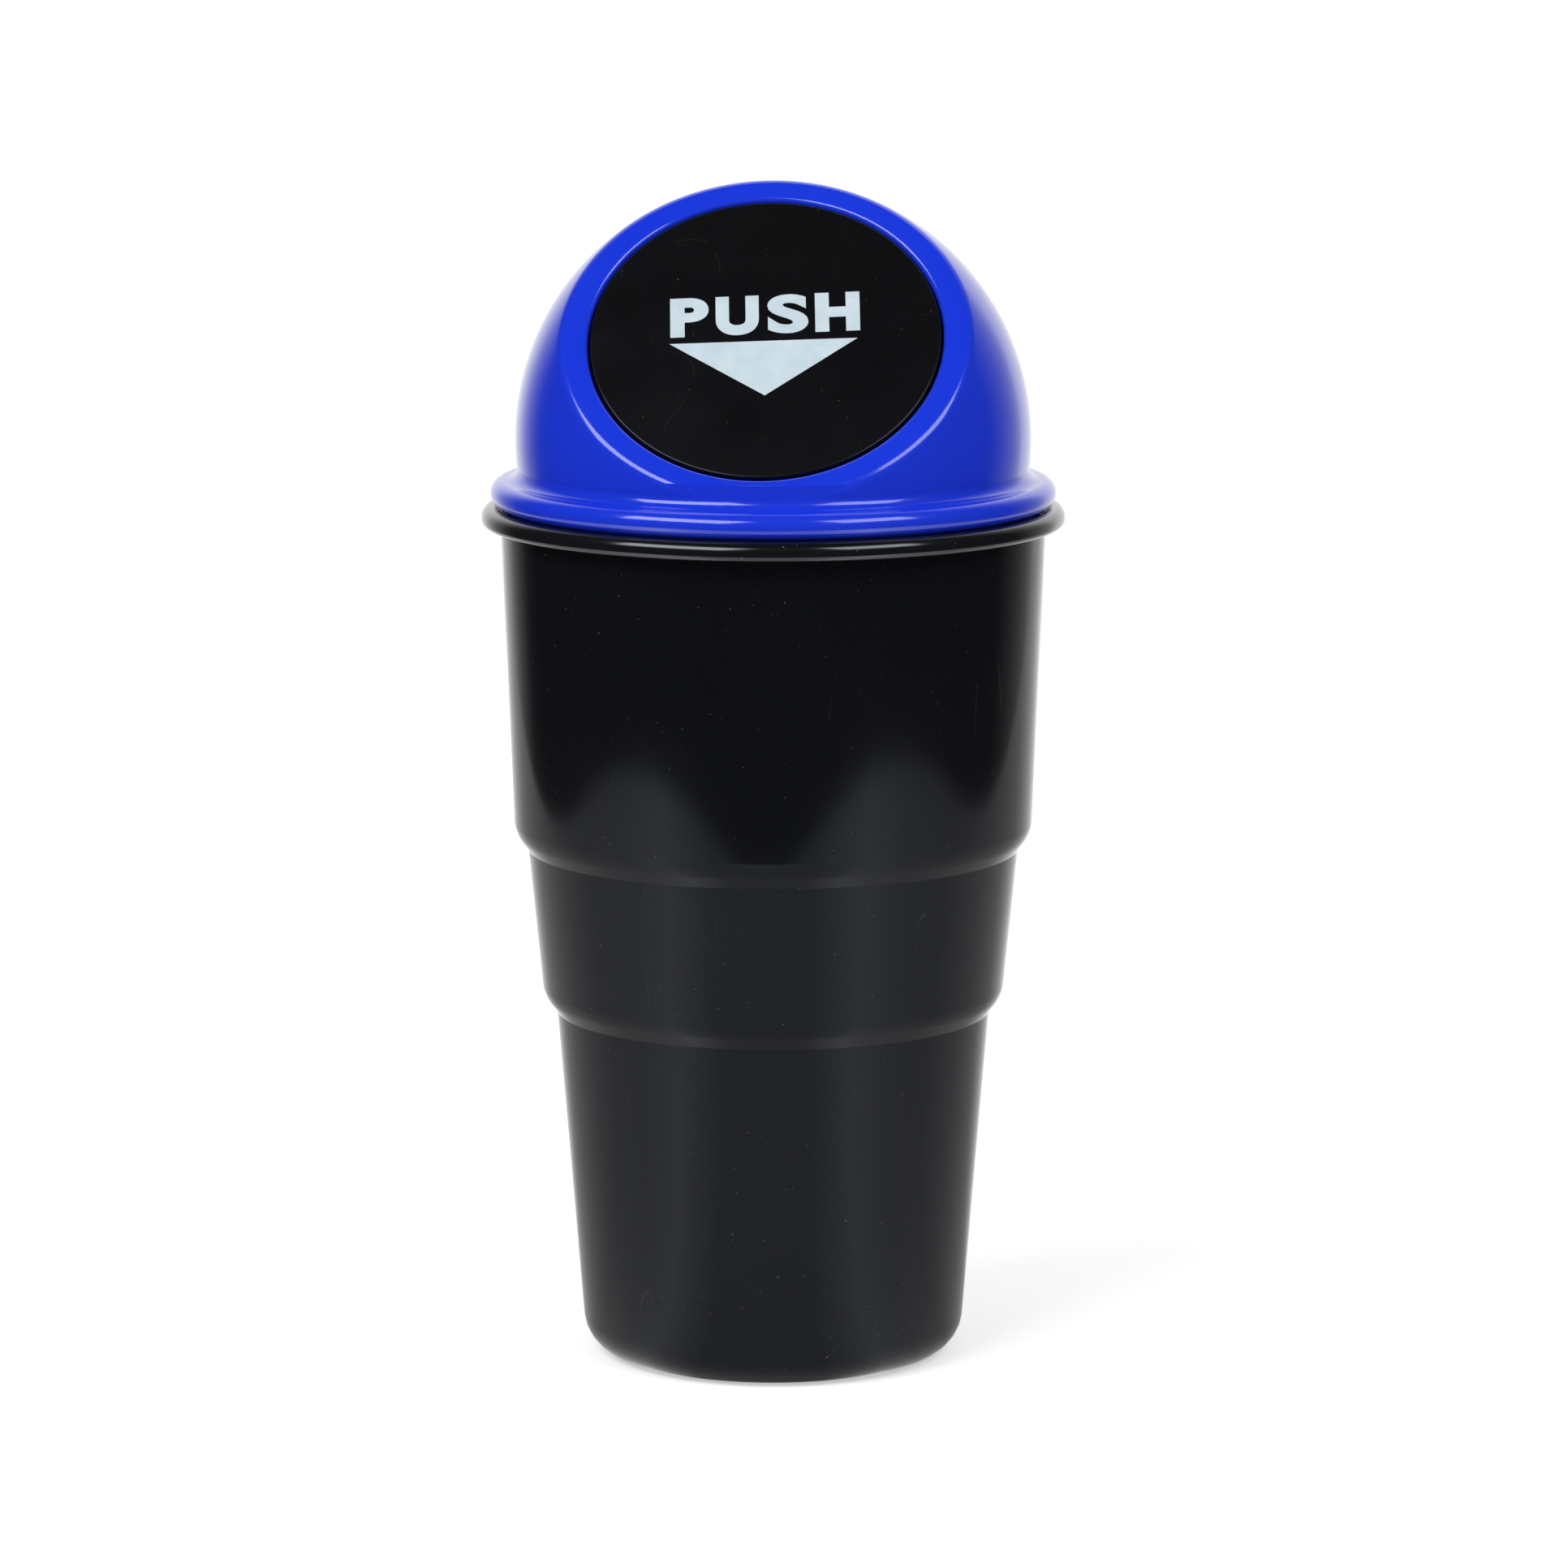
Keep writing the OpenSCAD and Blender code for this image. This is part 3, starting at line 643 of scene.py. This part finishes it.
def knuckle(from_x, to_x):
    """Tube round the pin, on a saddle that joins it to the flap's back."""
    piece_mesh = spun_solid([(KNUCKLE_BORE_R, from_x, 0.1), (KNUCKLE_R, from_x, 0.15),
                             (KNUCKLE_R, to_x, 0.15), (KNUCKLE_BORE_R, to_x, 0.1)], THIN_AROUND)
    bmesh.ops.transform(piece_mesh, matrix=TO_PIN, verts=piece_mesh.verts)
    add_to(piece_mesh, block((from_x, PIN_UP - KNUCKLE_R, PIN_OUT + SADDLE_FROM),
                             (to_x, PIN_UP + KNUCKLE_R, FLAP_BACK + SADDLE_SINK), SADDLE_ROUND))
    return piece_mesh


for from_x, to_x in KNUCKLES:
    add_to(flap_mesh, knuckle(from_x, to_x))
bmesh.ops.transform(flap_mesh, matrix=TO_MOUTH, verts=flap_mesh.verts)
finish_piece(flap_mesh, "flap_plate", "flap", flap_plastic, ["push_flap"])

# %% [markdown]
# ## The print
#
# The word PUSH and the arrow under it tell how to use the flap, as on any such door. They
# stand a little crooked on it. Blender's own font is too thin for them, so a letter's
# outline is moved outwards before it is made a mesh, and the mesh is then stretched to the
# letter's own place and width. Each letter is set by itself, because a stretched word would
# keep the font's spacing. The films are 0.02 mm thick, and a hair above the plate, because
# two faces in one plane would flicker.

# %% One printed letter
PRINT_OUT = FLAP_FRONT + 0.005
FILM = 0.02
PRINT_TURN = radians(3.5)
WORD_START = (-14.9, -0.1)
LETTER_HEIGHT = 8.0


def printed_letter(letter, start, end, boldness):
    """One letter as a thin film, from start to end along the word's baseline."""
    curve = bpy.data.curves.new("letter", "FONT")
    curve.body = letter
    curve.offset = boldness
    curve.extrude = 0.01
    curve.resolution_u = 8
    holder = bpy.data.objects.new("letter", curve)
    bpy.context.scene.collection.objects.link(holder)
    bpy.context.view_layer.update()
    drawn = bpy.data.meshes.new_from_object(holder)
    bpy.data.objects.remove(holder)
    bpy.data.curves.remove(curve)
    letter_mesh = bmesh.new()
    letter_mesh.from_mesh(drawn)
    bpy.data.meshes.remove(drawn)
    low = Vector([min(vert.co[i] for vert in letter_mesh.verts) for i in range(3)])
    high = Vector([max(vert.co[i] for vert in letter_mesh.verts) for i in range(3)])
    wanted = Vector((end - start, LETTER_HEIGHT, FILM))
    scales = [wanted[i] / (high[i] - low[i]) * MM for i in range(3)]
    place = (Matrix.Translation(Vector((*WORD_START, PRINT_OUT)) * MM)
             @ Matrix.Rotation(PRINT_TURN, 4, "Z")
             @ Matrix.Translation((start * MM, 0, 0))
             @ Matrix.Diagonal((*scales, 1.0))
             @ Matrix.Translation(-low))
    bmesh.ops.transform(letter_mesh, matrix=TO_MOUTH @ place, verts=letter_mesh.verts)
    return letter_mesh


# %% Word and arrow
LETTERS = (("P", -0.33, 5.84, 0.05), ("U", 6.97, 13.89, 0.06), ("S", 15.27, 21.82, 0.043),
           ("H", 22.9, 30.07, 0.06))
ARROW = ((-15.31, -1.4), (0.46, -11.68), (14.76, 0.19))


def printed_arrow(corners):
    """A triangle, extruded to a film."""
    arrow_mesh = bmesh.new()
    points = [arrow_mesh.verts.new((x * MM, y * MM, PRINT_OUT * MM)) for x, y in corners]
    grown = bmesh.ops.extrude_face_region(arrow_mesh, geom=[arrow_mesh.faces.new(points)])
    bmesh.ops.translate(arrow_mesh, vec=(0, 0, FILM * MM), verts=only(BMVert, grown["geom"]))
    bmesh.ops.transform(arrow_mesh, matrix=TO_MOUTH, verts=arrow_mesh.verts)
    return arrow_mesh


word_mesh = bmesh.new()
for letter, start, end, boldness in LETTERS:
    add_to(word_mesh, printed_letter(letter, start, end, boldness))
finish_piece(word_mesh, "push_word", "flap", ink)
finish_piece(printed_arrow(ARROW), "push_arrow", "flap", ink)

# %% [markdown]
# ## Pin and spring
#
# The pin is a rod with rounded ends, spun about its own axis. The spring is wound from
# wire: a circle that is spun about the pin's axis and moved along it at each step makes the
# coil, which no plain spin could do. Before that, the same circle is extruded straight back
# for the leg that lies on the flap, and afterwards straight on for the one that presses on
# the ledge.
#
# When the flap swings in, one leg stays on the lid and the other goes with the flap, and the
# coil winds up between them. Here the wire is put on no body, and its place is baked into its
# points.

# %% Hinge pin
PIN_R, PIN_HALF, PIN_ROUND = 1.0, 27.82, 0.2
pin_mesh = spun_solid([(0, -PIN_HALF, 0), (PIN_R, -PIN_HALF, PIN_ROUND),
                       (PIN_R, PIN_HALF, PIN_ROUND), (0, PIN_HALF, 0)], THIN_AROUND)
bmesh.ops.transform(pin_mesh, matrix=TO_MOUTH @ TO_PIN, verts=pin_mesh.verts)
finish_piece(pin_mesh, "hinge_rod", "lid", pin_steel, ["hinge_pin"])

# %% Return spring
COIL_R, WIRE_R, COIL_HALF, TURNS = 1.8, 0.35, 2.8, 7
FLAP_LEG, PRESS_LEG, LEG_ANGLE = 14, 15.78, radians(6.99)
STEPS_A_TURN, WIRE_AROUND = 32, 12
coil_angle = FULL_TURN * TURNS + LEG_ANGLE
coil_steps = TURNS * STEPS_A_TURN


def pull_leg(wire_mesh, ring, way):
    """Extrudes a ring of edges to a straight leg, which reaches by way."""
    leg = bmesh.ops.extrude_edge_only(wire_mesh, edges=ring)
    bmesh.ops.translate(wire_mesh, vec=way, verts=only(BMVert, leg["geom"]))


wire_mesh = bmesh.new()
wire_start = Matrix.Translation(Vector((-COIL_HALF, PIN_UP, PIN_OUT + COIL_R)) * MM)
bmesh.ops.create_circle(wire_mesh, segments=WIRE_AROUND, radius=WIRE_R * MM,
                        matrix=wire_start @ Matrix.Rotation(pi / 2, 4, "X"))
ring_edges, ring_points = wire_mesh.edges[:], wire_mesh.verts[:]
pull_leg(wire_mesh, ring_edges, Vector((0, -FLAP_LEG, 0)) * MM)
coil = bmesh.ops.spin(wire_mesh, geom=ring_edges + ring_points,
                      cent=(0, PIN_UP * MM, PIN_OUT * MM), axis=(1, 0, 0), angle=-coil_angle,
                      dvec=(2 * COIL_HALF * MM / coil_steps, 0, 0), steps=coil_steps,
                      use_merge=False, use_duplicate=False)
pull_leg(wire_mesh, only(BMEdge, coil["geom_last"]),
         Vector((0, cos(LEG_ANGLE), -sin(LEG_ANGLE))) * PRESS_LEG * MM)
bmesh.ops.holes_fill(wire_mesh, edges=wire_mesh.edges)
bmesh.ops.transform(wire_mesh, matrix=TO_MOUTH, verts=wire_mesh.verts)

# %% Spring wire, on no body, with its place baked in
spring_wire = finish_piece(wire_mesh, "spring_wire", None, spring_steel,
                           ["return_spring"])
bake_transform(spring_wire)

# %% [markdown]
# ## Table and backdrop
#
# The bin stands on a table covered with white paper. The table ends 0.3 m in front of it:
# the lower tiers mirror the bright paper, while the upper tier already mirrors the dark room
# beyond its edge, which is why it looks blacker. The front corners are rounded, or the cup
# would mirror them as two sharp peaks. A vertex bevel rounds them.
#
# The paper is plain white. It gets a little white of its own for the camera and for mirrors
# only, so that it reads as pure white without more light on the object, and the bin's shadow
# stays on it. For mirrors that white is a painted reflection, a glow of the paper though it is
# no lamp: it is strongest towards the two lamps and towards the backdrop.
#
# Which ray is asking is a matter for the Light Path node. Two colour ramps hold, from one
# bearing to the next, the paper's painted reflection and how bright the backdrop looks in a
# mirror.

# %% Helpers for light that depends on who looks
def asking_rays(tree):
    """Two outputs: is it the camera that looks, and is it a mirror or a clear thing."""
    rays = add_node(tree, "ShaderNodeLightPath").outputs
    mirrors = add_node(tree, "ShaderNodeMath",
                       {0: rays["Is Glossy Ray"], 1: rays["Is Transmission Ray"]},
                       operation="MAXIMUM").outputs[0]
    return rays["Is Camera Ray"], mirrors


def fill_ramp(ramp, stops):
    """Gives a ramp its (place, grey) stops, and takes away the two it came with."""
    for place, grey in stops:
        ramp.elements.new(place).color = (grey, grey, grey, 1.0)
    ramp.elements.remove(ramp.elements[-1])
    ramp.elements.remove(ramp.elements[0])


# %% Painted reflection and paper
FIBRE_MM = 2
# Painted reflection: (degrees off straight behind the bin, glow) of the paper as mirrors see it
PAINTED_REFLECTION = ((12, 0.6), (30, 0.3), (45, 0.05), (95, 0.05), (118, 0.4), (136, 1.0), (158, 0.15))
# The white that the camera sees grows from 0.1 to 0.3 m off the bin, so its shadow stays
GLOW_FROM, GLOW_TO, GLOW_NEAR, GLOW_FAR = 0.1, 0.3, 0.5, 1.0


def painted_paper_reflection(tree, place):
    """Painted reflection of lamps and backdrop: how bright a mirror sees the paper glow, by
    degrees off straight behind the bin.
    """
    parts = add_node(tree, "ShaderNodeSeparateXYZ", {"Vector": place}).outputs
    turn = add_node(tree, "ShaderNodeMath", {0: parts["X"], 1: parts["Y"]},
                    operation="ARCTAN2").outputs[0]
    off_back = add_node(tree, "ShaderNodeMath", {0: turn}, operation="ABSOLUTE").outputs[0]
    share = add_node(tree, "ShaderNodeMath", {0: off_back, 1: 1 / pi},
                     operation="MULTIPLY").outputs[0]
    reflection_ramp = add_node(tree, "ShaderNodeValToRGB", {"Fac": share})
    fill_ramp(reflection_ramp.color_ramp, [(off_deg / 180, grey) for off_deg, grey in PAINTED_REFLECTION])
    return reflection_ramp.outputs["Color"]


def white_paper():
    """Matt paper with a faint fibre mottle, which glows: plain white for the camera, a painted
    reflection for mirrors.
    """
    material, tree, shader, place = new_material("matt_white_paper")
    fibres = add_node(tree, "ShaderNodeTexNoise",
                      {"Vector": place, "Scale": 1 / (FIBRE_MM * MM),
                       "Detail": 3.0}).outputs["Fac"]
    tone = add_node(tree, "ShaderNodeMix",
                    {"Factor": fibres, "A": colour("#f0f0f0"), "B": colour("#f6f6f6")},
                    data_type="RGBA").outputs["Result"]
    tree.links.new(tone, shader.inputs["Base Color"])
    shader.inputs["Roughness"].default_value = 0.9
    shader.inputs["Specular IOR Level"].default_value = 0.0
    by_camera, by_mirrors = asking_rays(tree)
    looking = add_node(tree, "ShaderNodeMath", {0: by_camera, 1: by_mirrors},
                       operation="MAXIMUM").outputs[0]
    away = add_node(tree, "ShaderNodeVectorMath", {0: place}, operation="LENGTH").outputs["Value"]
    plain = add_node(tree, "ShaderNodeMapRange",
                     {"Value": away, "From Min": GLOW_FROM, "From Max": GLOW_TO,
                      "To Min": GLOW_NEAR, "To Max": GLOW_FAR}).outputs[0]
    # Mirrors see the painted reflection glow, the camera the plain white glow
    lift = add_node(tree, "ShaderNodeMix",
                    {"Factor": by_camera, "A": painted_paper_reflection(tree, place), "B": plain}).outputs[0]
    glow = add_node(tree, "ShaderNodeEmission", {"Color": colour("#ffffff"), "Strength": lift})
    both = add_node(tree, "ShaderNodeAddShader", {0: shader.outputs[0], 1: glow.outputs[0]})
    shown = add_node(tree, "ShaderNodeMixShader",
                     {0: looking, 1: shader.outputs[0], 2: both.outputs[0]})
    tree.links.new(shown.outputs[0], tree.nodes["Material Output"].inputs["Surface"])
    return material


# %% Table
TABLE_FRONT, TABLE_BACK, TABLE_HALF, TABLE_ROUND = -0.30, 0.75, 0.37, 0.28
TABLE_ROUND_STEPS = 24
table_mesh = bmesh.new()
bmesh.ops.create_grid(table_mesh, x_segments=1, y_segments=1, size=0.5)
bmesh.ops.scale(table_mesh, vec=(2 * TABLE_HALF, TABLE_BACK - TABLE_FRONT, 1),
                verts=table_mesh.verts)
bmesh.ops.translate(table_mesh, vec=(0, (TABLE_BACK + TABLE_FRONT) / 2, 0),
                    verts=table_mesh.verts)
front_corners = [vert for vert in table_mesh.verts if vert.co.y < 0]
round_corners(table_mesh, front_corners, TABLE_ROUND, TABLE_ROUND_STEPS)
paper_table = put_in_scene(table_mesh, "paper_table", white_paper())
print("table from", TABLE_FRONT, "to", TABLE_BACK, "m")

# %% [markdown]
# The room behind the camera is dark, and a white backdrop stands behind the bin. The world
# plays both. The camera sees white all round. Mirrored light sees the backdrop: a colour
# ramp over the bearing holds its brightness, white straight behind and fading out to the
# left and, further round, to the right. It isn't seen overhead. That keeps the flap black
# and draws pale bands down the bin's outline. Everything else gets an even grey.

# %% Backdrop as a mirror sees it
VIEW_AZIMUTH = radians(3.9)
BACKDROP = ((-58, 0.02), (-50, 0.07), (-45, 0.2), (-40, 0.34), (-36, 0.46), (-32, 0.62),
            (-26, 0.85), (-16, 1.0), (32, 1.0), (36, 0.72), (41, 0.52), (48, 0.36), (57, 0.2),
            (68, 0.03))
OVERHEAD_FROM, OVERHEAD_FULL = 0.85, 0.93
room = bpy.data.worlds.new("photo_room")
bpy.context.scene.world = room
room.use_nodes = True
room_tree = room.node_tree
room_tree.nodes.clear()
way = add_node(room_tree, "ShaderNodeTexCoord").outputs["Generated"]
turned = add_node(room_tree, "ShaderNodeVectorRotate", {"Vector": way, "Angle": -VIEW_AZIMUTH},
                  rotation_type="Z_AXIS").outputs["Vector"]
parts = add_node(room_tree, "ShaderNodeSeparateXYZ", {"Vector": turned}).outputs
bearing = add_node(room_tree, "ShaderNodeMath", {0: parts["X"], 1: parts["Y"]},
                   operation="ARCTAN2").outputs[0]
turn_share = add_node(room_tree, "ShaderNodeMapRange",
                      {"Value": bearing, "From Min": -pi, "From Max": pi}).outputs[0]
backdrop = add_node(room_tree, "ShaderNodeValToRGB", {"Fac": turn_share})
fill_ramp(backdrop.color_ramp,
          [(0.5 + bearing_deg / 360, grey) for bearing_deg, grey in BACKDROP])
not_high = add_node(room_tree, "ShaderNodeMapRange",
                    {"Value": parts["Z"], "From Min": OVERHEAD_FULL,
                     "From Max": OVERHEAD_FROM}).outputs[0]
mirrored = add_node(room_tree, "ShaderNodeMath", {0: backdrop.outputs["Color"], 1: not_high},
                    operation="MULTIPLY").outputs[0]
print("backdrop:", len(BACKDROP), "stops over the bearing")

# %% Room
AMBIENT = 0.38
by_camera, by_mirrors = asking_rays(room_tree)
for_others = add_node(room_tree, "ShaderNodeMix",
                      {"Factor": by_mirrors, "A": AMBIENT, "B": mirrored}).outputs[0]
strength = add_node(room_tree, "ShaderNodeMix",
                    {"Factor": by_camera, "A": for_others, "B": 1.0}).outputs[0]
sky = add_node(room_tree, "ShaderNodeBackground",
               {"Color": colour("#ffffff"), "Strength": strength})
add_node(room_tree, "ShaderNodeOutputWorld", {"Surface": sky.outputs[0]})
print("room: ambient", AMBIENT)

# %% [markdown]
# ## Lamps
#
# Two softboxes stand in front, high up on the left and on the right, and the right one is
# narrower and weaker. They draw the two pale lines on the lid's flange, on the cup's rim and
# round the mouth. Nothing shines from straight ahead or from overhead.

# %% Softboxes
AIM = Vector((0, 0, 120)) * MM


def softbox(name, bearing_deg, height_deg, distance, width, height, power):
    """Lamp that faces the bin. Its bearing is counted from the camera's, to the right."""
    lamp_data = bpy.data.lights.new(name, "AREA")
    lamp_data.shape = "RECTANGLE"
    lamp_data.size = width
    lamp_data.size_y = height
    lamp_data.energy = power
    angle = VIEW_AZIMUTH + radians(bearing_deg)
    rise = radians(height_deg)
    place = AIM + distance * Vector((sin(angle) * cos(rise), -cos(angle) * cos(rise), sin(rise)))
    lamp = bpy.data.objects.new(name, lamp_data)
    lamp.matrix_world = (Matrix.Translation(place)
                         @ (place - AIM).to_track_quat("Z", "Y").to_matrix().to_4x4())
    bpy.context.scene.collection.objects.link(lamp)
    radiance = power / (pi * width * height)
    print(f"{name}: {power} W over {width} by {height} m, radiance {radiance:.1f}")


softbox("softbox_left", bearing_deg=-44, height_deg=43, distance=1.3, width=1.0, height=0.55,
        power=9.2)
softbox("softbox_right", bearing_deg=47, height_deg=43, distance=1.3, width=0.7, height=0.55,
        power=5.0)

# %% [markdown]
# ## Camera
#
# The camera stands 1.2 m from the bin's axis and about 0.3 m above the table, looks down by
# not quite 10 degrees, and is turned to the right by 4. The bin stands a hair left of the
# picture's middle, which a small lens shift gives without turning the camera.

# %% Camera
DISTANCE, CAMERA_Z, AIM_Z = 1.2, 0.298, 0.0944
PICTURE, FOCAL_PIXELS, SHIFT_PIXELS, SENSOR_MM = 1932, 9149, 13.3, 36
eye = Vector((DISTANCE * sin(VIEW_AZIMUTH), -DISTANCE * cos(VIEW_AZIMUTH), CAMERA_Z))
look = Vector((0, 0, AIM_Z)) - eye
camera_data = bpy.data.cameras.new("photo_camera")
camera_data.sensor_width = SENSOR_MM
camera_data.lens = FOCAL_PIXELS / PICTURE * SENSOR_MM
camera_data.shift_x = SHIFT_PIXELS / PICTURE
photo_camera = bpy.data.objects.new("photo_camera", camera_data)
photo_camera.matrix_world = (Matrix.Translation(eye)
                             @ look.to_track_quat("-Z", "Y").to_matrix().to_4x4())
bpy.context.scene.collection.objects.link(photo_camera)
bpy.context.scene.camera = photo_camera
bpy.context.scene.view_settings.view_transform = "Standard"
print(f"camera: {camera_data.lens:.1f} mm lens")
